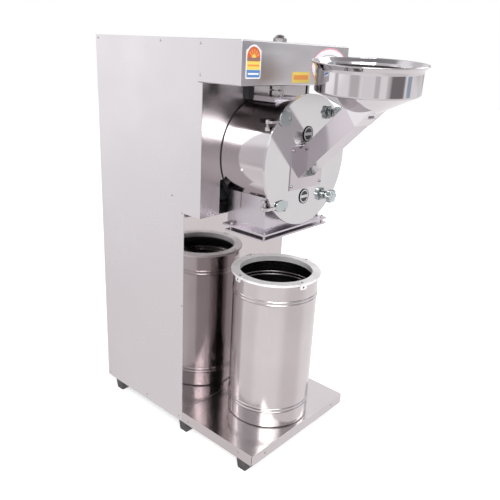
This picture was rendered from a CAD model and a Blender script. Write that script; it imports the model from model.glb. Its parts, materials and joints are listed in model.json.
import json
import math

import bmesh
import bpy
from mathutils import Matrix, Vector

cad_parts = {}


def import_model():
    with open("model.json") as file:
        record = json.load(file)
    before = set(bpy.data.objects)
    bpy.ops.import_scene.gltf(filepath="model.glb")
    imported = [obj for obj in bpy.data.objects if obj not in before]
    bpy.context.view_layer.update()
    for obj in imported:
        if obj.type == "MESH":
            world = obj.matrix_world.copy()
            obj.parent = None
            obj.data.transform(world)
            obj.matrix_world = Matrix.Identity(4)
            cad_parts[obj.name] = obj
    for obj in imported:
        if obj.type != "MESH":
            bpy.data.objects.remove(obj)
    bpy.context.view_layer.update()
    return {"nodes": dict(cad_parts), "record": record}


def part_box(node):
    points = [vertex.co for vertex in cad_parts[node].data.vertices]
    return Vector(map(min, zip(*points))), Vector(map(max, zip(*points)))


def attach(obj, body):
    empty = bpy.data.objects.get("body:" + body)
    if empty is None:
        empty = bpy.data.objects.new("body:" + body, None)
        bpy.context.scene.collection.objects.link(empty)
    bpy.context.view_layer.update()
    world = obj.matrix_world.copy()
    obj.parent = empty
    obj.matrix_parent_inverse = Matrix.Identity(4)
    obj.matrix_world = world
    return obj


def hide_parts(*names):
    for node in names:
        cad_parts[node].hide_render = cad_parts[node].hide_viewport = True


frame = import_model()
NODES = frame["nodes"]

# The machine's own zero: the lower cabinet's front plane and the underside of the base.
ORIGIN = Vector((0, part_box("lower_front_panel")[0].y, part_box("platform_tray")[0].z))


def at(x, y, z):
    """A place given in millimetres from the machine's zero, in the frame's metres."""
    return ORIGIN + Vector((x, y, z)) / 1000


def low(node):
    """A node's lowest corner in millimetres from the machine's zero."""
    return (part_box(node)[0] - ORIGIN) * 1000


def high(node):
    """A node's highest corner in millimetres from the machine's zero."""
    return (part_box(node)[1] - ORIGIN) * 1000


def middle(node):
    return (low(node) + high(node)) / 2


# ---- Camera ----

CAMERA_PLACE = (-1503.0, -1365.7, 1340.7)
CAMERA_YAW, CAMERA_PITCH, CAMERA_ROLL = -49.1, -19.27, 2.905
CAMERA_LENS, SENSOR_WIDTH, VIEW_DEPTH = 40.97, 36, 100


def camera():
    """The scene's camera; its place is in millimetres and its angles in degrees."""
    data = bpy.data.cameras.new("camera")
    data.sensor_width = SENSOR_WIDTH
    data.lens = CAMERA_LENS
    data.clip_end = VIEW_DEPTH
    cam = bpy.data.objects.new("camera", data)
    yaw, pitch, roll = (math.radians(a) for a in (CAMERA_YAW, CAMERA_PITCH, CAMERA_ROLL))
    forward = Vector((-math.sin(yaw) * math.cos(pitch), math.cos(yaw) * math.cos(pitch), math.sin(pitch)))
    level_right = Vector((math.cos(yaw), math.sin(yaw), 0))
    level_up = level_right.cross(forward)
    right = level_right * math.cos(roll) + level_up * math.sin(roll)
    up = level_up * math.cos(roll) - level_right * math.sin(roll)
    basis = Matrix((right, up, -forward)).transposed()
    cam.matrix_world = Matrix.Translation(at(*CAMERA_PLACE)) @ basis.to_4x4()
    bpy.context.scene.collection.objects.link(cam)
    bpy.context.scene.camera = cam


camera()


# ---- Materials ----

class Nodes:
    """A short way to write a node tree."""

    def __init__(self, tree):
        self.tree = tree

    def add(self, kind, inputs=None, **settings):
        node = self.tree.nodes.new(kind)
        for key, value in settings.items():
            setattr(node, key, value)
        for key, value in (inputs or {}).items():
            if isinstance(value, bpy.types.NodeSocket):
                self.tree.links.new(value, node.inputs[key])
            else:
                node.inputs[key].default_value = value
        return node

    def noise(self, vector, scale, detail=3.0, rough=0.55):
        node = self.add("ShaderNodeTexNoise", {"Vector": vector, "Scale": scale, "Detail": detail,
                                               "Roughness": rough})
        return node.outputs["Fac"]

    def span(self, value, start, end, low_out, high_out, kind="LINEAR"):
        node = self.add("ShaderNodeMapRange", {0: value, 1: start, 2: end, 3: low_out, 4: high_out},
                        interpolation_type=kind)
        return node.outputs[0]

    def maths(self, operation, first, second):
        return self.add("ShaderNodeMath", {0: first, 1: second}, operation=operation).outputs[0]

    def mix(self, factor, first, second, blend="MIX"):
        node = self.add("ShaderNodeMix", {0: factor, 6: first, 7: second}, data_type="RGBA",
                        blend_type=blend)
        return node.outputs[2]


def rgba(colour):
    return (*colour, 1.0)


def scaled(colour, factor):
    return tuple(c * factor for c in colour)


def new_material(name):
    mat = bpy.data.materials.new(name)
    mat.use_nodes = True
    nodes = Nodes(mat.node_tree)
    bsdf = mat.node_tree.nodes["Principled BSDF"]
    place = nodes.add("ShaderNodeTexCoord").outputs["Object"]
    return mat, nodes, bsdf, place


def stretched(nodes, place, grain):
    """Coordinates squeezed so that noise runs in long lines along one axis."""
    scale = {"x": (0.02, 1, 1), "y": (1, 0.02, 1), "z": (1, 1, 0.02), "": (1, 1, 1)}[grain]
    return nodes.add("ShaderNodeMapping", {"Vector": place, "Scale": scale}).outputs[0]


def sheet_metal(name, colour, rough, grain="z", blotch=0.06, lines=0.03, waviness=0.0, marks=0.05):
    """Stainless or zinc sheet: brushed lines, cloudy patches, fine handling marks, slow waves."""
    mat, nodes, bsdf, place = new_material(name)
    cloud = nodes.noise(place, 5.0, 4.0)
    patch = nodes.noise(place, 19.0, 3.0)
    line = nodes.noise(stretched(nodes, place, grain), 420.0, 2.0)
    fine = nodes.noise(place, 160.0, 2.0)
    dark = nodes.mix(nodes.span(cloud, 0.35, 0.65, 0.0, 1.0), rgba(scaled(colour, 1 - blotch)),
                     rgba(scaled(colour, 1 + blotch / 2)))
    tinted = nodes.mix(nodes.span(patch, 0.55, 0.75, 0.0, blotch), dark,
                       rgba((colour[0] * 0.80, colour[1] * 0.74, colour[2] * 0.70)))
    streaked = nodes.mix(nodes.span(line, 0.3, 0.7, 0.0, lines * 2), tinted, rgba(scaled(colour, 0.6)))
    nodes.tree.links.new(streaked, bsdf.inputs["Base Color"])
    bsdf.inputs["Metallic"].default_value = 1.0
    base = nodes.span(cloud, 0.3, 0.7, rough * 0.8, rough * 1.2)
    spotted = nodes.maths("ADD", base, nodes.span(fine, 0.5, 0.72, 0.0, marks))
    nodes.tree.links.new(nodes.maths("ADD", spotted, nodes.span(line, 0.35, 0.7, 0.0, lines)),
                         bsdf.inputs["Roughness"])
    height = nodes.maths("ADD", nodes.maths("MULTIPLY", line, lines * 0.35),
                         nodes.maths("MULTIPLY", nodes.noise(place, 2.6, 1.0), waviness))
    bump = nodes.add("ShaderNodeBump", {"Height": height, "Strength": 1.0, "Distance": 0.004})
    nodes.tree.links.new(bump.outputs[0], bsdf.inputs["Normal"])
    return mat


def cast_metal(name, colour, rough, metallic=1.0, grain_size=260.0, depth=0.25):
    """Cast, forged or painted metal with a fine pebbled skin."""
    mat, nodes, bsdf, place = new_material(name)
    cloud = nodes.noise(place, 14.0, 4.0)
    pebble = nodes.noise(place, grain_size, 3.0)
    tone = nodes.mix(nodes.span(cloud, 0.35, 0.68, 0.0, 1.0), rgba(scaled(colour, 0.82)), rgba(colour))
    nodes.tree.links.new(tone, bsdf.inputs["Base Color"])
    bsdf.inputs["Metallic"].default_value = metallic
    nodes.tree.links.new(nodes.span(pebble, 0.3, 0.7, rough * 0.8, rough * 1.25), bsdf.inputs["Roughness"])
    bump = nodes.add("ShaderNodeBump", {"Height": pebble, "Strength": depth, "Distance": 0.0006})
    nodes.tree.links.new(bump.outputs[0], bsdf.inputs["Normal"])
    return mat


def soft_black(name, colour, rough, speckle=0.3):
    """Rubber or plastic with dust in its pores."""
    mat, nodes, bsdf, place = new_material(name)
    cloud = nodes.noise(place, 22.0, 4.0)
    pore = nodes.noise(place, 420.0, 2.0)
    dusty = nodes.mix(nodes.span(cloud, 0.45, 0.75, 0.0, speckle), rgba(colour),
                      rgba((0.12, 0.115, 0.11)))
    nodes.tree.links.new(dusty, bsdf.inputs["Base Color"])
    nodes.tree.links.new(nodes.span(cloud, 0.3, 0.7, rough * 0.85, min(1.0, rough * 1.2)),
                         bsdf.inputs["Roughness"])
    bump = nodes.add("ShaderNodeBump", {"Height": pore, "Strength": 0.3, "Distance": 0.0004})
    nodes.tree.links.new(bump.outputs[0], bsdf.inputs["Normal"])
    return mat


def printed(name, colour, rough=0.35):
    """Ink on a plastic label, with a slight print grain."""
    mat, nodes, bsdf, place = new_material(name)
    grain = nodes.noise(place, 900.0, 2.0)
    tone = nodes.mix(nodes.span(grain, 0.35, 0.65, 0.0, 1.0), rgba(scaled(colour, 0.93)), rgba(colour))
    nodes.tree.links.new(tone, bsdf.inputs["Base Color"])
    nodes.tree.links.new(nodes.span(grain, 0.3, 0.7, rough * 0.9, rough * 1.15), bsdf.inputs["Roughness"])
    return mat


LOOK = {
    "side_steel": sheet_metal("side_steel", (0.69, 0.675, 0.69), 0.30, "z", 0.015, 0.0, 0.01, 0.0),
    "mirror_steel": sheet_metal("mirror_steel", (0.575, 0.535, 0.54), 0.06, "z", 0.03, 0.004, 0.04, 0.0),
    "housing_steel": sheet_metal("housing_steel", (0.575, 0.54, 0.545), 0.24, "z", 0.02, 0.004, 0.01, 0.0),
    "inner_steel": sheet_metal("inner_steel", (0.15, 0.14, 0.14), 0.26, "", 0.1, 0.02, 0.0, 0.03),
    "tray_steel": sheet_metal("tray_steel", (0.60, 0.57, 0.575), 0.17, "y", 0.05, 0.02, 0.06),
    "hood_steel": sheet_metal("hood_steel", (0.61, 0.60, 0.605), 0.055, "z", 0.02, 0.003, 0.02, 0.0),
    "jacket_steel": sheet_metal("jacket_steel", (0.60, 0.57, 0.585), 0.09, "", 0.02, 0.004, 0.01, 0.0),
    "cast_steel": cast_metal("cast_steel", (0.42, 0.41, 0.41), 0.42),
    "hard_steel": sheet_metal("hard_steel", (0.50, 0.49, 0.49), 0.35, "x", 0.12, 0.06),
    "duct_steel": sheet_metal("duct_steel", (0.58, 0.55, 0.59), 0.24, "z", 0.03, 0.01, 0.03, 0.02),
    "door_steel": sheet_metal("door_steel", (0.625, 0.62, 0.63), 0.09, "", 0.03, 0.01, 0.04, 0.02),
    "chute_steel": sheet_metal("chute_steel", (0.55, 0.515, 0.54), 0.12, "", 0.06, 0.012, 0.08, 0.03),
    "hopper_steel": sheet_metal("hopper_steel", (0.62, 0.60, 0.615), 0.055, "", 0.03, 0.01, 0.04, 0.02),
    "zinc": sheet_metal("zinc", (0.56, 0.62, 0.62), 0.30, "", 0.16, 0.01, 0.02, 0.06),
    "bolt_steel": sheet_metal("bolt_steel", (0.50, 0.48, 0.48), 0.24, "", 0.1, 0.03, 0.0, 0.06),
    "drum_steel": sheet_metal("drum_steel", (0.63, 0.595, 0.60), 0.18, "z", 0.05, 0.03, 0.06, 0.0),
    "collar_steel": cast_metal("collar_steel", (0.92, 0.91, 0.91), 0.42, 0.3, 200.0, 0.05),
    "dull_steel": sheet_metal("dull_steel", (0.27, 0.25, 0.25), 0.45, "x", 0.1, 0.02),
    "foot_rubber": soft_black("foot_rubber", (0.045, 0.043, 0.043), 0.55, 0.6),
    "seal_rubber": soft_black("seal_rubber", (0.010, 0.010, 0.010), 0.5, 0.1),
    "belt_rubber": soft_black("belt_rubber", (0.02, 0.02, 0.02), 0.6),
    "black_rubber": soft_black("black_rubber", (0.008, 0.008, 0.009), 0.42, 0.1),
    "frame_paint": cast_metal("frame_paint", (0.13, 0.15, 0.17), 0.45, 0.0, 300.0, 0.15),
    "motor_paint": cast_metal("motor_paint", (0.06, 0.13, 0.20), 0.38, 0.0, 200.0, 0.3),
    "bearing_steel": sheet_metal("bearing_steel", (0.55, 0.55, 0.55), 0.16, "", 0.05, 0.02),
    "shaft_steel": sheet_metal("shaft_steel", (0.50, 0.495, 0.49), 0.22, "", 0.08, 0.03),
    "pulley_iron": cast_metal("pulley_iron", (0.20, 0.20, 0.21), 0.40),
    "black_plastic": soft_black("black_plastic", (0.025, 0.025, 0.027), 0.38, 0.2),
}
PRINT = {
    "white": printed("print_white", (0.88, 0.86, 0.87)),
    "pink": printed("print_pink", (0.72, 0.35, 0.42)),
    "red": printed("print_red", (0.62, 0.12, 0.05)),
    "orange": printed("print_orange", (0.80, 0.30, 0.06)),
    "yellow": printed("print_yellow", (0.85, 0.62, 0.12)),
    "brown": printed("print_brown", (0.28, 0.16, 0.13)),
    "blue": printed("print_blue", (0.10, 0.24, 0.50)),
    "black": printed("print_black", (0.012, 0.012, 0.014)),
    "grey": printed("print_grey", (0.45, 0.45, 0.46)),
}
SLOT_OF = {part["node"]: part["material_slot"] for part in frame["record"]["subparts"]}


def flatten_normals(obj):
    """Let the large flat faces keep their own normals, so that they mirror like flat sheet."""
    even = obj.modifiers.new("even", "WEIGHTED_NORMAL")
    even.weight = 100
    even.keep_sharp = True


def dress(node, edge=0.0, segments=2):
    """Give a CAD node its material, welded faces and softly rounded edges (edge in millimetres)."""
    obj = NODES[node]
    obj.data.materials.clear()
    obj.data.materials.append(LOOK[SLOT_OF[node]])
    for polygon in obj.data.polygons:
        polygon.use_smooth = True
    weld = obj.modifiers.new("weld", "WELD")
    weld.merge_threshold = 0.00002
    if edge:
        flat = obj.modifiers.new("flat", "DECIMATE")
        flat.decimate_type = "DISSOLVE"
        flat.angle_limit = math.radians(1.0)
        bevel = obj.modifiers.new("edge", "BEVEL")
        bevel.width = edge / 1000
        bevel.segments = segments
        bevel.limit_method = "ANGLE"
        bevel.angle_limit = math.radians(40)
        bevel.harden_normals = False
    else:
        obj.data.set_sharp_from_angle(angle=math.radians(32))
    flatten_normals(obj)


# ---- Mesh building ----

def make_piece(name, bm, body, slot, material=None, replaces=(), smooth_angle=40, extra_materials=(),
               flat=True):
    """Turn a bmesh given in the machine's millimetres into a piece riding on a body."""
    for vertex in bm.verts:
        vertex.co = at(*vertex.co)
    bmesh.ops.recalc_face_normals(bm, faces=bm.faces)
    mesh = bpy.data.meshes.new(name)
    bm.to_mesh(mesh)
    bm.free()
    obj = bpy.data.objects.new(name, mesh)
    bpy.context.scene.collection.objects.link(obj)
    mesh.materials.append(material or LOOK[slot])
    for extra in extra_materials:
        mesh.materials.append(extra)
    for polygon in mesh.polygons:
        polygon.use_smooth = True
    mesh.set_sharp_from_angle(angle=math.radians(smooth_angle))
    if flat:
        flatten_normals(obj)
    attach(obj, body)
    if replaces:
        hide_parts(*replaces)
    return obj


def darken_inside(piece, axis, below):
    """Give the faces that look at a vertical axis, or up from the floor, the piece's second material."""
    centre = at(*axis)
    for polygon in piece.data.polygons:
        inward = centre - polygon.center
        inward.z = 0.0
        looks_in = polygon.normal.dot(inward.normalized()) > 0.2 or polygon.normal.z > 0.9
        if looks_in and polygon.center.z < at(0, 0, below).z:
            polygon.material_index = 1


def rounded_outline(points, radii, steps=6):
    """A closed outline of 2-D points with each corner rounded by its own radius."""
    result = []
    count = len(points)
    for i, corner in enumerate(points):
        corner = Vector(corner)
        before = Vector(points[i - 1]) - corner
        after = Vector(points[(i + 1) % count]) - corner
        radius = radii[i] if isinstance(radii, (list, tuple)) else radii
        if radius <= 0:
            result.append(tuple(corner))
            continue
        half = before.angle(after) / 2
        cut = min(radius / math.tan(half), before.length * 0.49, after.length * 0.49)
        radius = cut * math.tan(half)
        start = corner + before.normalized() * cut
        end = corner + after.normalized() * cut
        centre = corner + (before.normalized() + after.normalized()).normalized() * radius / math.sin(half)
        first, last = start - centre, end - centre
        sweep = first.angle_signed(last)
        for step in range(steps + 1):
            turn = -sweep * step / steps
            rotated = Matrix.Rotation(turn, 2) @ first
            result.append(tuple(centre + rotated))
    return result


def revolve(bm, profile, place, segments=160, closed=True):
    """Rings of a (radius, height) outline; place turns (x, y, z) about the axis into millimetres."""
    rings = []
    for step in range(segments):
        turn = 2 * math.pi * step / segments
        cos, sin = math.cos(turn), math.sin(turn)
        rings.append([bm.verts.new(place(r * cos, r * sin, z)) for r, z in profile])
    count = len(profile)
    for i in range(segments):
        ring, following = rings[i], rings[(i + 1) % segments]
        for j in range(count if closed else count - 1):
            k = (j + 1) % count
            bm.faces.new((ring[j], following[j], following[k], ring[k]))
    return rings


def prism(bm, outline, lift, start, end, round_over=0.0):
    """An outline of 2-D points carried from start to end by lift(u, v, w), ends rounded over."""
    levels = [(start, 0.0), (end, 0.0)]
    if round_over:
        levels = []
        for w, sign in ((start, 1), (end, -1)):
            arc = [(w + sign * round_over * (1 - math.cos(a)), round_over * (1 - math.sin(a)))
                   for a in (0, math.pi / 8, math.pi / 4, math.pi * 3 / 8, math.pi / 2)]
            levels += arc if sign == 1 else arc[::-1]
    centre = Vector((sum(p[0] for p in outline), sum(p[1] for p in outline))) / len(outline)
    loops = []
    for w, inset in levels:
        loop = []
        for point in outline:
            offset = Vector(point) - centre
            length = offset.length or 1.0
            shrunk = centre + offset * max(0.0, (length - inset)) / length
            loop.append(bm.verts.new(lift(shrunk.x, shrunk.y, w)))
        loops.append(loop)
    count = len(outline)
    for first, second in zip(loops, loops[1:]):
        for j in range(count):
            k = (j + 1) % count
            bm.faces.new((first[j], first[k], second[k], second[j]))
    bm.faces.new(loops[0])
    bm.faces.new(loops[-1])


def ellipse(x, z, a, b, count=40):
    return [(x + a * math.cos(2 * math.pi * i / count), z + b * math.sin(2 * math.pi * i / count))
            for i in range(count)]


def circle(radius, count=48, x=0.0, y=0.0):
    return ellipse(x, y, radius, radius, count)


# ---- Hopper ----

HOPPER_Y, HOPPER_RIM_Z = -481.0, 1327.0
LEAN = Matrix.Rotation(math.radians(-3.5), 3, "Y") @ Matrix.Rotation(math.radians(2.0), 3, "X")
PAN_R, THROAT_R, PAN_DEPTH, CONE_DEPTH, HOPPER_T = 154.0, 42.0, 84.0, 141.0, 1.5
RIM_R, RIM_BEAD_R, LIP_DEPTH = 165.5, 2.4, 16


def on_hopper(x, y, z):
    return LEAN @ Vector((x, y, z)) + Vector((0, HOPPER_Y, HOPPER_RIM_Z))


def hopper():
    outer = [(RIM_R, -5.0), (156.0, -15.0), (PAN_R, -22.0), (PAN_R, -PAN_DEPTH), (THROAT_R, -CONE_DEPTH)]
    inner = [(r - HOPPER_T, z + HOPPER_T) for r, z in outer[::-1]]
    inner[-1] = (outer[0][0] - 2 * HOPPER_T, outer[0][1] + 3.0)
    profile = outer + inner
    radii = [0, 8, 12, 7, 0, 0, 6, 10, 6, 0]
    bm = bmesh.new()
    revolve(bm, rounded_outline(profile, radii, 5), on_hopper, 200)
    bead = [(RIM_R + RIM_BEAD_R * math.cos(a), -2.5 + RIM_BEAD_R * math.sin(a))
            for a in (2 * math.pi * i / 14 for i in range(14))]
    revolve(bm, bead, on_hopper, 200)
    piece = make_piece("hopper_pan", bm, "door", "hopper_steel", replaces=("hopper",),
                       extra_materials=[LOOK["inner_steel"]])
    darken_inside(piece, Vector((0, HOPPER_Y, 0)), HOPPER_RIM_Z - LIP_DEPTH)


def cone_reached(point):
    """Whether a point is inside the hopper's cone or above its shoulder."""
    local = LEAN.transposed() @ (Vector(point) - Vector((0, HOPPER_Y, HOPPER_RIM_Z)))
    radius = math.hypot(local.x, local.y)
    if local.z > -PAN_DEPTH:
        return radius < PAN_R
    if local.z < -CONE_DEPTH:
        return False
    along = (local.z + CONE_DEPTH) / (CONE_DEPTH - PAN_DEPTH)
    return radius < THROAT_R + (PAN_R - THROAT_R) * along


def hopper_neck():
    """The short square sleeve that joins the cone to the chute."""
    top, foot = Vector((0, -439.0, 1201.0)), Vector((0, -480.0, 1147.0))
    up = Vector((0, -1, 1)).normalized()
    half, sheet, longest, per_side = 44.5, 1.4, 160, 16
    span = 66  # roughly the sleeve's length along its own slope
    bm = bmesh.new()
    loops = []
    for wall in (0.0, sheet):
        outline = [(-half + wall, 0), (half - wall, 0), (half - wall, 1), (-half + wall, 1)]
        samples = []
        for a, b in zip(outline, outline[1:] + outline[:1]):
            for i in range(per_side):
                t = i / per_side
                samples.append((a[0] + (b[0] - a[0]) * t, a[1] + (b[1] - a[1]) * t))
        lower, upper = [], []
        for x, v in samples:
            v = v + wall / span * (1 if v < 0.5 else -1)
            start = foot + (top - foot) * v
            start.x = x
            reach = 0.0
            while reach < longest and not cone_reached(start + up * reach):
                reach += 1.0
            lower.append(bm.verts.new(start))
            upper.append(bm.verts.new(start + up * (reach + 0.4)))
        loops.append((lower, upper))
    count = len(loops[0][0])
    (lo_a, up_a), (lo_b, up_b) = loops
    for j in range(count):
        k = (j + 1) % count
        bm.faces.new((lo_a[j], lo_a[k], up_a[k], up_a[j]))
        bm.faces.new((lo_b[k], lo_b[j], up_b[j], up_b[k]))
        bm.faces.new((lo_a[k], lo_a[j], lo_b[j], lo_b[k]))
        bm.faces.new((up_a[j], up_a[k], up_b[k], up_b[j]))
    make_piece("hopper_neck", bm, "door", "hopper_steel", smooth_angle=30)


hopper()
hopper_neck()


# ---- Drum ----

DRUM_Y = -192.0
DRUM_R = 152.0


def on_drum(x, y, z):
    return Vector((x, y + DRUM_Y, z))


def drum():
    beads = (107.0, 120.0, 531.0, 543.0)
    foot, top = 42.2, 602.0
    heights = [foot + 6]
    for z in beads:
        heights += [z + d for d in (-6, -3.6, -2.4, -1.2, 0, 1.2, 2.4, 3.6, 6)]
    heights = sorted(set(heights)) + [top]

    def swell(z):
        return sum(2.1 * math.cos(min(abs(z - b) / 4.0, 1) * math.pi / 2) ** 2 for b in beads)

    outer = [(DRUM_R - 6, foot), (DRUM_R - 2.5, foot + 0.6), (DRUM_R - 0.6, foot + 2.6)]
    outer += [(DRUM_R + swell(z), z) for z in heights]
    inner = [(DRUM_R - 1.2 + swell(z), z) for z in heights[::-1]]
    inner += [(DRUM_R - 3.0, foot + 3.4), (DRUM_R - 6.5, foot + 1.4)]
    bm = bmesh.new()
    floor_ring = [(0.01, foot + 1.4), (0.01, foot)]
    revolve(bm, outer + inner + floor_ring, on_drum, 192)
    piece = make_piece("drum_shell", bm, "drum", "drum_steel", replaces=("drum_body",),
                       extra_materials=[LOOK["inner_steel"]])
    darken_inside(piece, Vector((0, DRUM_Y, 0)), top + 1)


def collar_clips():
    """Four bent tabs over the collar, each with a hole in its tongue."""
    collar_r, top = 161.0, 611.0
    bm = bmesh.new()
    for angle in (-106.0, -8.0, 78.0, 166.0):
        turn = Matrix.Rotation(math.radians(angle), 3, "Z")

        def on_tongue(u, v, w, turn=turn):
            return turn @ Vector((u, v, w)) + Vector((0, DRUM_Y, 0))

        outline = rounded_outline([(collar_r - 16, -13.5), (collar_r + 2.8, -13.5), (collar_r + 2.8, 13.5),
                                   (collar_r - 16, 13.5)], [6, 0, 0, 6], 5)
        prism(bm, outline, on_tongue, top + 0.05, top + 2.0, 0.4)
        hole = circle(4.2, 24, collar_r - 7, 0)
        prism(bm, hole, on_tongue, top + 1.9, top + 2.06)

        def on_strap(u, v, w, turn=turn):
            return turn @ Vector((w, u, v)) + Vector((0, DRUM_Y, 0))

        outline = rounded_outline([(-13.5, 590.5), (13.5, 590.5), (13.5, top + 1.4), (-13.5, top + 1.4)],
                                  [5, 5, 0, 0], 5)
        prism(bm, outline, on_strap, collar_r + 0.1, collar_r + 2.9, 0.4)
        prism(bm, circle(3.6, 20, 0, 599), on_strap, collar_r + 2.8, collar_r + 2.96)
    piece = make_piece("collar_tabs", bm, "drum", "bolt_steel", replaces=("collar_clips",),
                       material=LOOK["collar_steel"], extra_materials=[LOOK["black_rubber"]])
    for polygon in piece.data.polygons:
        if polygon.area < 0.00008 and len(polygon.vertices) >= 20:
            polygon.material_index = 1


drum()
collar_clips()


# ---- Clamp knobs ----

# This plane is 2 mm in front of the door plate's own face, so what is set on it stands off by that.
DOOR_FRONT = -290.0
HOOD_FRONT = -233.0
CLAMPS = (("upper", 1160.0), ("lower", 882.0))
CLAMP_X = 124.0


def on_hood(u, v, w):
    return Vector((u, HOOD_FRONT - w, v))


def on_door(u, v, w):
    return Vector((u, DOOR_FRONT - w, v))


def star_knob(level, z):
    face = DOOR_FRONT - 2.6

    def on_axis(u, v, w):
        return Vector((CLAMP_X + u, w, z + v))

    def lobed(radius, depth):
        points = []
        for i in range(96):
            a = 2 * math.pi * i / 96
            r = radius + depth * (0.5 + 0.5 * math.cos(6 * a)) ** 0.7 - depth
            points.append((r * math.cos(a), r * math.sin(a)))
        return points

    bm = bmesh.new()
    prism(bm, lobed(24.0, 5.5), on_axis, face - 28.5, face - 10, 3.2)
    prism(bm, circle(11.5), on_axis, face - 29.9, face - 27, 1.5)
    prism(bm, circle(12.8), on_axis, face - 12, face - 0.1, 1.0)
    make_piece("%s_star_knob" % level, bm, "%s_clamp_knob" % level, "zinc", replaces=("%s_knob" % level,),
               flat=False)
    bm = bmesh.new()
    profile = [(0.01, face - 1)]
    y = face - 1
    while y < -271.0:
        profile += [(5.3, y), (5.95, y + 0.6), (5.95, y + 0.9), (5.3, y + 1.5)]
        y += 1.75
    profile += [(4.6, -270.2), (0.01, -270.2)]

    def on_stud(a, b, w):
        return Vector((CLAMP_X + a, w, z + b))

    revolve(bm, profile, on_stud, 32, closed=False)
    make_piece("%s_clamp_stud" % level, bm, "%s_clamp_knob" % level, "zinc", material=LOOK["bolt_steel"])


for clamp_level, clamp_z in CLAMPS:
    star_knob(clamp_level, clamp_z)


# ---- Vent nuts ----

def hexagon_nut(bm, across, bottom, top, bore, centre, domed=0.0):
    """A nut with chamfered corners; domed closes it with a low cap."""
    apothem = across / 2
    count = 72
    rows = []
    outer_r = [apothem / math.cos(((2 * math.pi * i / count) % (math.pi / 3)) - math.pi / 6)
               for i in range(count)]
    chamfer = [(r - apothem) * 0.62 for r in outer_r]
    for kind in ("bore_low", "low_in", "low_out", "high_out", "high_in", "bore_high"):
        ring = []
        for i in range(count):
            a = 2 * math.pi * i / count
            r, z = {"bore_low": (bore, bottom), "low_in": (apothem, bottom),
                    "low_out": (outer_r[i], bottom + chamfer[i]),
                    "high_out": (outer_r[i], top - chamfer[i]), "high_in": (apothem, top),
                    "bore_high": (bore, top)}[kind]
            ring.append(bm.verts.new(centre + Vector((r * math.cos(a), r * math.sin(a), z))))
        rows.append(ring)
    if domed:
        for step in range(1, 7):
            lift = math.radians(15 * step)
            ring = []
            for i in range(count):
                a = 2 * math.pi * i / count
                r = (apothem - 1.5) * math.cos(lift) + 0.02
                ring.append(bm.verts.new(centre + Vector((r * math.cos(a), r * math.sin(a),
                                                          top + domed * math.sin(lift)))))
            rows.append(ring)
        rows.pop(5)
    for first, second in zip(rows, rows[1:]):
        for i in range(count):
            k = (i + 1) % count
            bm.faces.new((first[i], first[k], second[k], second[i]))
    if not domed:
        for i in range(count):
            k = (i + 1) % count
            bm.faces.new((rows[-1][i], rows[-1][k], rows[0][k], rows[0][i]))


def vent_nuts():
    bm = bmesh.new()
    centre = Vector((0, -145.0, 0))
    hexagon_nut(bm, 42, 1206, 1223, 14.0, centre)
    hexagon_nut(bm, 42, 1225, 1242, 14.0, centre)
    hexagon_nut(bm, 38, 1370, 1383, 14.0, centre, domed=11.5)
    make_piece("vent_hex_nuts", bm, "mill", SLOT_OF["vent_nuts"], replaces=("vent_nuts",), smooth_angle=25,
               material=LOOK["bolt_steel"])


vent_nuts()


# ---- Hood ----

def hood():
    """The hood as one folded skin with soft folds, open behind."""
    x, z0, z1, y0, y1 = 272.5, 1244.0, 1370.0, HOOD_FRONT, -60.3
    fold = 4.0
    outline = rounded_outline([(-x, z0), (x, z0), (x, z1), (-x, z1)], fold, 4)
    inner = rounded_outline([(-x + 1.5, z0 + 1.5), (x - 1.5, z0 + 1.5), (x - 1.5, z1 - 1.5),
                             (-x + 1.5, z1 - 1.5)], fold - 1.5, 4)
    bm = bmesh.new()

    def loop(points, y, inset=0.0):
        verts = []
        for u, v in points:
            su = max(-x + inset, min(x - inset, u)) if inset else u
            sv = max(z0 + inset, min(z1 - inset, v)) if inset else v
            verts.append(bm.verts.new(Vector((su, y, sv))))
        return verts

    back, lining = loop(inner, y1), loop(inner, y0 + 1.5)
    skin = [loop(outline, y1), loop(outline, y0 + fold)]
    for a in (30, 60, 90):
        rad = math.radians(a)
        skin.append(loop(outline, y0 + fold * (1 - math.sin(rad)), fold * (1 - math.cos(rad))))
    count = len(outline)
    for first, second in zip(skin, skin[1:]):
        for i in range(count):
            k = (i + 1) % count
            bm.faces.new((first[i], first[k], second[k], second[i]))
    bm.faces.new(skin[-1])
    for i in range(count):
        k = (i + 1) % count
        bm.faces.new((back[i], back[k], lining[k], lining[i]))
        bm.faces.new((back[k], back[i], skin[0][i], skin[0][k]))
    bm.faces.new(lining)
    bmesh.ops.remove_doubles(bm, verts=bm.verts, dist=0.01)
    piece = make_piece("hood_skin", bm, "mill", SLOT_OF["hood_shell"], smooth_angle=28,
                       replaces=("hood_shell", "hood_front"), extra_materials=[LOOK["dull_steel"]])
    for polygon in piece.data.polygons:
        if polygon.normal.z < -0.9 and polygon.center.z < at(0, 0, z0 + 1).z:
            polygon.material_index = 1


hood()


# ---- Chamber jacket ----

CHAMBER_Z = middle("chamber_jacket").z
JACKET_R = (high("chamber_jacket").x - low("chamber_jacket").x) / 2
JACKET_T = 2.0


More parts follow.
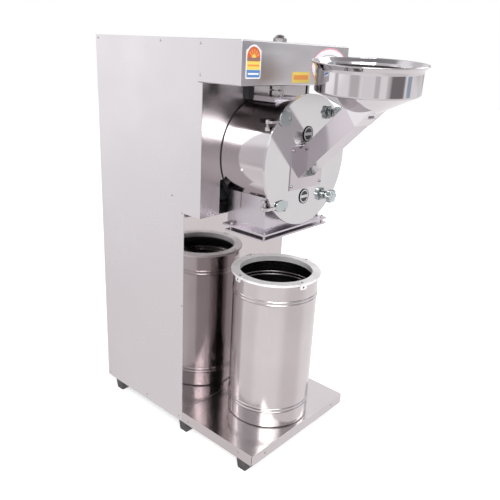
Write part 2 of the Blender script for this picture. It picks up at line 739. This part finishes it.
def jacket():
    """One smooth sheet round the chamber, open at the bottom where the duct leaves it."""
    front, back = low("chamber_jacket").y, high("chamber_jacket").y
    rows = [front, low("outlet_duct").y + 22, high("outlet_duct").y, back]
    half_open = math.asin(148.0 / JACKET_R)
    start = -math.pi / 2 + half_open
    closed_steps, open_steps = 300, 90
    angles = [start + (2 * math.pi - 2 * half_open) * i / closed_steps for i in range(closed_steps)]
    angles += [start - 2 * half_open + 2 * half_open * i / open_steps for i in range(open_steps)]
    bm = bmesh.new()
    shells = [[[bm.verts.new((r * math.cos(a), y, CHAMBER_Z + r * math.sin(a))) for a in angles]
               for y in rows] for r in (JACKET_R, JACKET_R - JACKET_T)]
    count = len(angles)

    def present(row, i):
        return 0 <= row < len(rows) - 1 and not (row == 1 and i % count >= closed_steps)

    for row in range(len(rows) - 1):
        for i in range(count):
            if not present(row, i):
                continue
            k = (i + 1) % count
            for shell in shells:
                bm.faces.new((shell[row][i], shell[row][k], shell[row + 1][k], shell[row + 1][i]))
            rims = [(present(row - 1, i), (row, i), (row, k)),
                    (present(row + 1, i), (row + 1, i), (row + 1, k)),
                    (present(row, i - 1), (row, i), (row + 1, i)),
                    (present(row, i + 1), (row, k), (row + 1, k))]
            for joined, (ra, ia), (rb, ib) in rims:
                if not joined:
                    outer, inner = shells
                    bm.faces.new((outer[ra][ia], outer[rb][ib], inner[rb][ib], inner[ra][ia]))
    make_piece("jacket_sheet", bm, "mill", SLOT_OF["chamber_jacket"], replaces=("chamber_jacket",))


def jacket_screw():
    """A domed screw head on the left of the jacket."""
    lift = math.radians(-8.7)
    out = Vector((-math.cos(lift), 0, math.sin(lift)))
    across = Vector((0, 1, 0))
    up = out.cross(across)
    foot = Vector((0, -171.0, CHAMBER_Z)) + out * JACKET_R

    def on_screw(a, b, w):
        return foot + across * a + up * b + out * w

    profile = [(0.01, -0.5), (4.6, -0.5), (4.6, 0.5), (4.0, 1.5), (2.8, 2.2), (1.4, 2.6), (0.01, 2.7)]
    bm = bmesh.new()
    revolve(bm, profile, on_screw, 32, closed=False)
    make_piece("jacket_screw", bm, "mill", "bolt_steel", material=LOOK["collar_steel"])


def duct_slit():
    """A narrow dark slit in the duct's left side."""
    left = -148.0

    def on_side(u, v, w):
        return Vector((left - w, u, v))

    bm = bmesh.new()
    outline = rounded_outline([(-143.0, 850), (-140.6, 850), (-140.6, 900), (-143.0, 900)], 1.1, 4)
    prism(bm, outline, on_side, -0.4, 0.12)
    make_piece("duct_slit", bm, "mill", SLOT_OF["outlet_duct"], material=LOOK["black_rubber"])


jacket()
jacket_screw()
duct_slit()


# ---- Hinges ----

HINGE_X, HINGE_Y = -190.0, -272.0
KNUCKLE_R, ROD_R, ARM_END_X = 6.4, 3.6, -150.0
# For each hinge: its plate's centre and half sizes on the door, then its strap's and its arm's foot.
HINGES = {"upper": ((-129.0, 1154.0, 31.0, 23.5), (1142.0, 1119.0)),
          "lower": ((-120.0, 882.0, 32.0, 18.5), (876.0, 896.0))}


def upright(bm, radius, bottom, top, x=HINGE_X, y=HINGE_Y):
    profile = [(0.01, bottom), (radius - 0.8, bottom), (radius, bottom + 0.8), (radius, top - 0.8),
               (radius - 0.8, top), (0.01, top)]
    revolve(bm, profile, lambda a, b, w: Vector((x + a, y + b, w)), 40, closed=False)


def on_plan(u, v, w):
    return Vector((u, v, w))


def hinges():
    """Slim hinges: a zinc plate and strap on the door, an arm on the chamber, a rod through both."""
    for level, ((x, z, half_w, half_h), _) in HINGES.items():
        bm = bmesh.new()
        outline = rounded_outline([(x - half_w, z - half_h * 0.5), (x - half_w * 0.35, z - half_h),
                                   (x + half_w * 0.55, z - half_h * 0.95), (x + half_w, z - half_h * 0.25),
                                   (x + half_w * 0.8, z + half_h * 0.75), (x, z + half_h),
                                   (x - half_w * 0.85, z + half_h * 0.8)], 11.0, 5)
        prism(bm, outline, on_door, 0.02, 4.6, 1.2)
        make_piece("%s_hinge_plate" % level, bm, "door", SLOT_OF["hinge_lugs"], material=LOOK["zinc"])
    straps, arms, rods = bmesh.new(), bmesh.new(), bmesh.new()
    for (x, _, _, _), (strap_z, arm_z) in HINGES.values():
        outline = rounded_outline([(HINGE_X - 5, DOOR_FRONT - 3.4), (x, DOOR_FRONT - 3.4),
                                   (x, DOOR_FRONT - 0.05), (HINGE_X + 5, DOOR_FRONT - 0.05),
                                   (HINGE_X + 5, HINGE_Y), (HINGE_X - 5, HINGE_Y)], [3, 0, 0, 2, 0, 0], 4)
        prism(straps, outline, on_plan, strap_z, strap_z + 8)
        upright(straps, KNUCKLE_R, strap_z - 2, strap_z + 10)
        outline = [(HINGE_X, HINGE_Y - 3), (ARM_END_X, HINGE_Y - 3), (ARM_END_X, HINGE_Y + 9),
                   (HINGE_X, HINGE_Y + 9)]
        prism(arms, outline, on_plan, arm_z + 2, arm_z + 10)
        upright(arms, KNUCKLE_R, arm_z, arm_z + 12)
        upright(rods, ROD_R, min(arm_z, strap_z - 2) - 1.5, max(arm_z + 12, strap_z + 10) + 1.5)
    make_piece("hinge_straps", straps, "door", SLOT_OF["hinge_lugs"], material=LOOK["jacket_steel"],
               replaces=("hinge_lugs",))
    make_piece("hinge_arms", arms, "mill", SLOT_OF["hinge_brackets"], material=LOOK["jacket_steel"],
               replaces=("hinge_brackets",))
    make_piece("hinge_rods", rods, "mill", SLOT_OF["hinge_pins"], replaces=("hinge_pins",))


hinges()


# ---- Labels ----

def flat_patch(bm, outline, lift, height, material_index):
    verts = [bm.verts.new(lift(u, v, height)) for u, v in outline]
    face = bm.faces.new(verts)
    face.material_index = material_index


def label(name, body, slot, patches, lift):
    """Thin printed patches, each a little above the one before."""
    bm = bmesh.new()
    names = []
    for level, (outline, ink) in enumerate(patches):
        if ink not in names:
            names.append(ink)
        flat_patch(bm, outline, lift, 0.25 + 0.06 * level, names.index(ink))
    mesh_materials = [PRINT[ink] for ink in names]
    make_piece(name, bm, body, slot, material=mesh_materials[0], extra_materials=mesh_materials[1:])


def rectangle(x0, z0, x1, z1, radius=0.0):
    return rounded_outline([(x0, z0), (x1, z0), (x1, z1), (x0, z1)], radius, 4)


def labels():
    x0, x1, z0, z1 = -254.0, -189.0, 1265.0, 1358.0
    mid = (x0 + x1) / 2
    half = (x1 - x0) / 2
    patches = [(rectangle(x0, z0, x1, z1 - half * 0.4, 4), "white"),
               (ellipse(mid, z1 - half, half, half), "white"),
               (ellipse(mid, z1 - half - 1, half - 4, half - 4), "red")]
    for blade in range(5):
        a = math.radians(25 + blade * 26)
        b = math.radians(25 + blade * 26 + 14)
        r = half - 6
        patches.append(([(mid, z1 - half - 6), (mid + r * math.cos(a), z1 - half - 6 + r * math.sin(a)),
                         (mid + r * math.cos(b), z1 - half - 6 + r * math.sin(b))], "orange"))
    patches += [(ellipse(mid, z1 - half - 2, 9, 8), "yellow"),
                (rectangle(x0 + 4, 1314, x1 - 4, 1323), "brown"),
                (rectangle(x0 + 4, 1290, x1 - 4, 1313), "yellow"),
                (rectangle(x0 + 8, 1299, x1 - 8, 1304), "orange"),
                (rectangle(x0 + 4, 1269, x1 - 4, 1289), "blue"),
                (rectangle(x0 + 9, 1276, x1 - 9, 1281), "white")]
    label("rating_label", "mill", "hood_steel", patches, on_hood)
    label("hood_strip_label", "mill", "hood_steel",
          [(rectangle(-37, 1252, 54, 1285, 2), "yellow"), (rectangle(-30, 1262, 47, 1276, 2), "orange")],
          on_hood)
    label("hood_oval_label", "mill", "hood_steel",
          [(ellipse(161, 1303, 102, 59), "pink"), (ellipse(161, 1303, 97, 54), "white"),
           (ellipse(161, 1303, 80, 38), "grey"), (ellipse(161, 1303, 77, 35), "white")], on_hood)
    for name, x, z in (("upper", -6.0, 1100.0), ("lower", -2.0, 896.0)):
        label("%s_turn_label" % name, "door", "door_steel",
              [(ellipse(x, z, 25, 25), "black"), (ellipse(x, z, 22, 22), "grey"),
               (ellipse(x, z, 18, 18), "black"), (rectangle(x - 20, z - 4.5, x + 20, z + 4.5), "grey")],
              on_door)


labels()

# ---- CAD nodes that keep their own shape ----

EDGES = {
    "left_side_panel": 0.5, "right_side_panel": 0.5, "back_panel": 0.4, "top_panel": 0.4,
    "lower_front_panel": 0.5, "upper_front_panel": 0.5, "platform_tray": 0.6, "base_frame": 0.8,
    "cabinet_frame": 0.8, "outlet_duct": 0.6, "sleeve_frame": 0.9, "door_plate": 2.0,
    "door_bolts": 0.5, "feed_chute": 0.4, "feed_gate": 0.6, "drum_collar": 1.2,
    "vent_saddle": 1.6, "hood_stops": 1.2, "bearing_bridge": 1.5, "bearing_housings": 2.0,
    "rotor_nut": 0.8, "sleeve_studs": 0.3, "upper_washer": 0.4, "lower_washer": 0.4,
    "hammer_set_1": 0.6, "hammer_set_2": 0.6, "hammer_set_3": 0.6, "hammer_set_4": 0.6,
}
for node_name in SLOT_OF:
    dress(node_name, EDGES.get(node_name, 0.0))
NODES["door_bolts"].data.materials[0] = LOOK["cast_steel"]
NODES["upper_front_panel"].data.materials[0] = LOOK["housing_steel"]


# ---- Studio ----

def direction(azimuth, elevation):
    """Azimuth 0 is the machine's front, 90 its right side; elevation above the horizon."""
    a, e = math.radians(azimuth), math.radians(elevation)
    return (math.sin(a) * math.cos(e), -math.cos(a) * math.cos(e), math.sin(e))


def world():
    """Light from all round: a ramp by height, then bands and windows that polished steel reflects."""
    studio = bpy.data.worlds.new("studio")
    bpy.context.scene.world = studio
    studio.use_nodes = True
    nodes = Nodes(studio.node_tree)
    background = studio.node_tree.nodes["Background"]
    ray = nodes.add("ShaderNodeTexCoord").outputs["Generated"]
    height = nodes.add("ShaderNodeSeparateXYZ", {0: ray}).outputs[2]
    ramp = [(-1.0, (0.98, 0.94, 0.95)), (-0.30, (1.05, 1.02, 1.03)), (-0.09, (1.04, 1.01, 1.02)),
            (-0.03, (0.56, 0.53, 0.54)), (0.04, (0.46, 0.44, 0.45)), (0.30, (0.76, 0.745, 0.77)),
            (0.58, (0.80, 0.785, 0.80)), (0.80, (0.36, 0.35, 0.36)), (1.0, (0.12, 0.117, 0.12))]
    colour = rgba(ramp[0][1])
    for (z0, _), (z1, tone) in zip(ramp, ramp[1:]):
        colour = nodes.mix(nodes.span(height, z0, z1, 0.0, 1.0, "SMOOTHSTEP"), colour, rgba(tone))
    level = nodes.add("ShaderNodeVectorMath", {0: ray, 1: (1, 1, 0)}, operation="MULTIPLY").outputs[0]
    level = nodes.add("ShaderNodeVectorMath", {0: level}, operation="NORMALIZE").outputs[0]
    under_sky = nodes.span(height, 0.25, 0.50, 1.0, 0.0, "SMOOTHSTEP")
    over_floor, over_wall, over_rail = (
        nodes.maths("MULTIPLY", under_sky, nodes.span(height, foot, clear, 0.0, 1.0, "SMOOTHSTEP"))
        for foot, clear in ((-0.32, -0.22), (-0.17, -0.12), (-0.05, -0.02)))
    on_floor = nodes.span(height, -0.38, -0.26, 1.0, 0.0, "SMOOTHSTEP")
    # Azimuth, half widths of the full and the faded part, tone, strength, and how low it reaches.
    bands = [
        (-142, 26, 42, (1.30, 1.28, 1.31), 0.95, over_wall),
        (-168, 6, 12, (0.40, 0.37, 0.38), 0.7, over_floor),
        (-129, 2, 6, (0.60, 0.56, 0.57), 0.8, over_floor),
        (-87, 6, 14, (0.64, 0.61, 0.62), 0.9, over_floor),
        (-58, 9, 15, (0.97, 0.94, 0.96), 0.9, over_floor),
        (-39, 3, 7, (0.66, 0.63, 0.64), 0.9, over_floor),
        (6, 13, 21, (0.20, 0.182, 0.19), 0.95, over_floor),
        (-14, 2, 6, (0.50, 0.46, 0.47), 0.6, over_floor),
        (36, 4, 8, (0.36, 0.45, 0.56), 0.9, over_wall),
        (57, 7, 13, (0.26, 0.24, 0.245), 0.95, over_rail),
        (80, 6, 14, (0.88, 0.86, 0.88), 0.8, over_wall),
        (-166, 8, 20, (0.58, 0.53, 0.54), 0.9, on_floor),
        (-120, 12, 30, (0.88, 0.83, 0.84), 0.8, on_floor),
        (8, 14, 40, (0.84, 0.79, 0.80), 0.9, on_floor),
    ]
    for azimuth, inner, outer, tone, opacity, reach in bands:
        facing = nodes.add("ShaderNodeVectorMath", {0: level, 1: direction(azimuth, 0)},
                           operation="DOT_PRODUCT").outputs[1]
        edge = nodes.span(facing, math.cos(math.radians(outer)), math.cos(math.radians(inner)),
                          0.0, opacity, "SMOOTHSTEP")
        colour = nodes.mix(nodes.maths("MULTIPLY", edge, reach), colour, rgba(tone))
    windows = [(-33, 33, 13, 19, (2.9, 2.9, 2.92)), (-150, 32, 14, 26, (1.15, 1.15, 1.17)),
               (128, 34, 16, 30, (1.10, 1.08, 1.10))]
    for azimuth, elevation, inner, outer, tone in windows:
        facing = nodes.add("ShaderNodeVectorMath", {0: ray, 1: direction(azimuth, elevation)},
                           operation="DOT_PRODUCT").outputs[1]
        edge = nodes.span(facing, math.cos(math.radians(outer)), math.cos(math.radians(inner)),
                          0.0, 1.0, "SMOOTHSTEP")
        colour = nodes.mix(edge, colour, rgba(tone))
    nodes.tree.links.new(colour, background.inputs[0])
    background.inputs[1].default_value = 1.0


def stage_object(name, mesh, material):
    obj = bpy.data.objects.new(name, mesh)
    mesh.materials.append(material)
    bpy.context.scene.collection.objects.link(obj)
    return obj


FLOOR_R, BACKDROP_R = 18, 17.5


def pale_floor():
    """A pale floor that reflections do not see, so that the world's own lower half stands in for it."""
    mat, nodes, bsdf, place = new_material("pale_floor")
    grain = nodes.noise(place, 1.5, 2.0)
    tone = nodes.mix(grain, rgba((0.92, 0.92, 0.92)), rgba((0.95, 0.95, 0.95)))
    nodes.tree.links.new(tone, bsdf.inputs["Base Color"])
    bsdf.inputs["Roughness"].default_value = 0.9
    bsdf.inputs["Emission Color"].default_value = (1, 1, 1, 1)
    bsdf.inputs["Emission Strength"].default_value = 0.50
    bm = bmesh.new()
    bmesh.ops.create_circle(bm, cap_ends=True, segments=96, radius=FLOOR_R)
    mesh = bpy.data.meshes.new("floor")
    bm.to_mesh(mesh)
    bm.free()
    floor = stage_object("floor", mesh, mat)
    floor.visible_glossy = False


def backdrop():
    """A white dome that only the camera sees."""
    mat = bpy.data.materials.new("backdrop_white")
    mat.use_nodes = True
    nodes = Nodes(mat.node_tree)
    glow = nodes.add("ShaderNodeEmission", {"Color": (1, 1, 1, 1), "Strength": 1.0})
    nodes.tree.links.new(glow.outputs[0], mat.node_tree.nodes["Material Output"].inputs[0])
    bm = bmesh.new()
    bmesh.ops.create_uvsphere(bm, u_segments=48, v_segments=24, radius=BACKDROP_R)
    mesh = bpy.data.meshes.new("backdrop")
    bm.to_mesh(mesh)
    bm.free()
    dome = stage_object("backdrop", mesh, mat)
    for flag in ("visible_diffuse", "visible_glossy", "visible_transmission", "visible_volume_scatter",
                 "visible_shadow"):
        setattr(dome, flag, False)


def soft_light(name, place, aim, size, power):
    data = bpy.data.lights.new(name, "AREA")
    data.size = size
    data.energy = power
    obj = bpy.data.objects.new(name, data)
    obj.location = place
    obj.rotation_euler = (Vector(aim) - Vector(place)).to_track_quat("-Z", "Y").to_euler()
    bpy.context.scene.collection.objects.link(obj)


world()
pale_floor()
backdrop()
soft_light("key", (-2.6, -2.2, 3.0), (0, 0, 0.7), 2.0, 70)
soft_light("fill", (2.6, -1.4, 2.6), (0, 0, 0.6), 1.8, 25)
bpy.context.scene.view_settings.view_transform = "Standard"
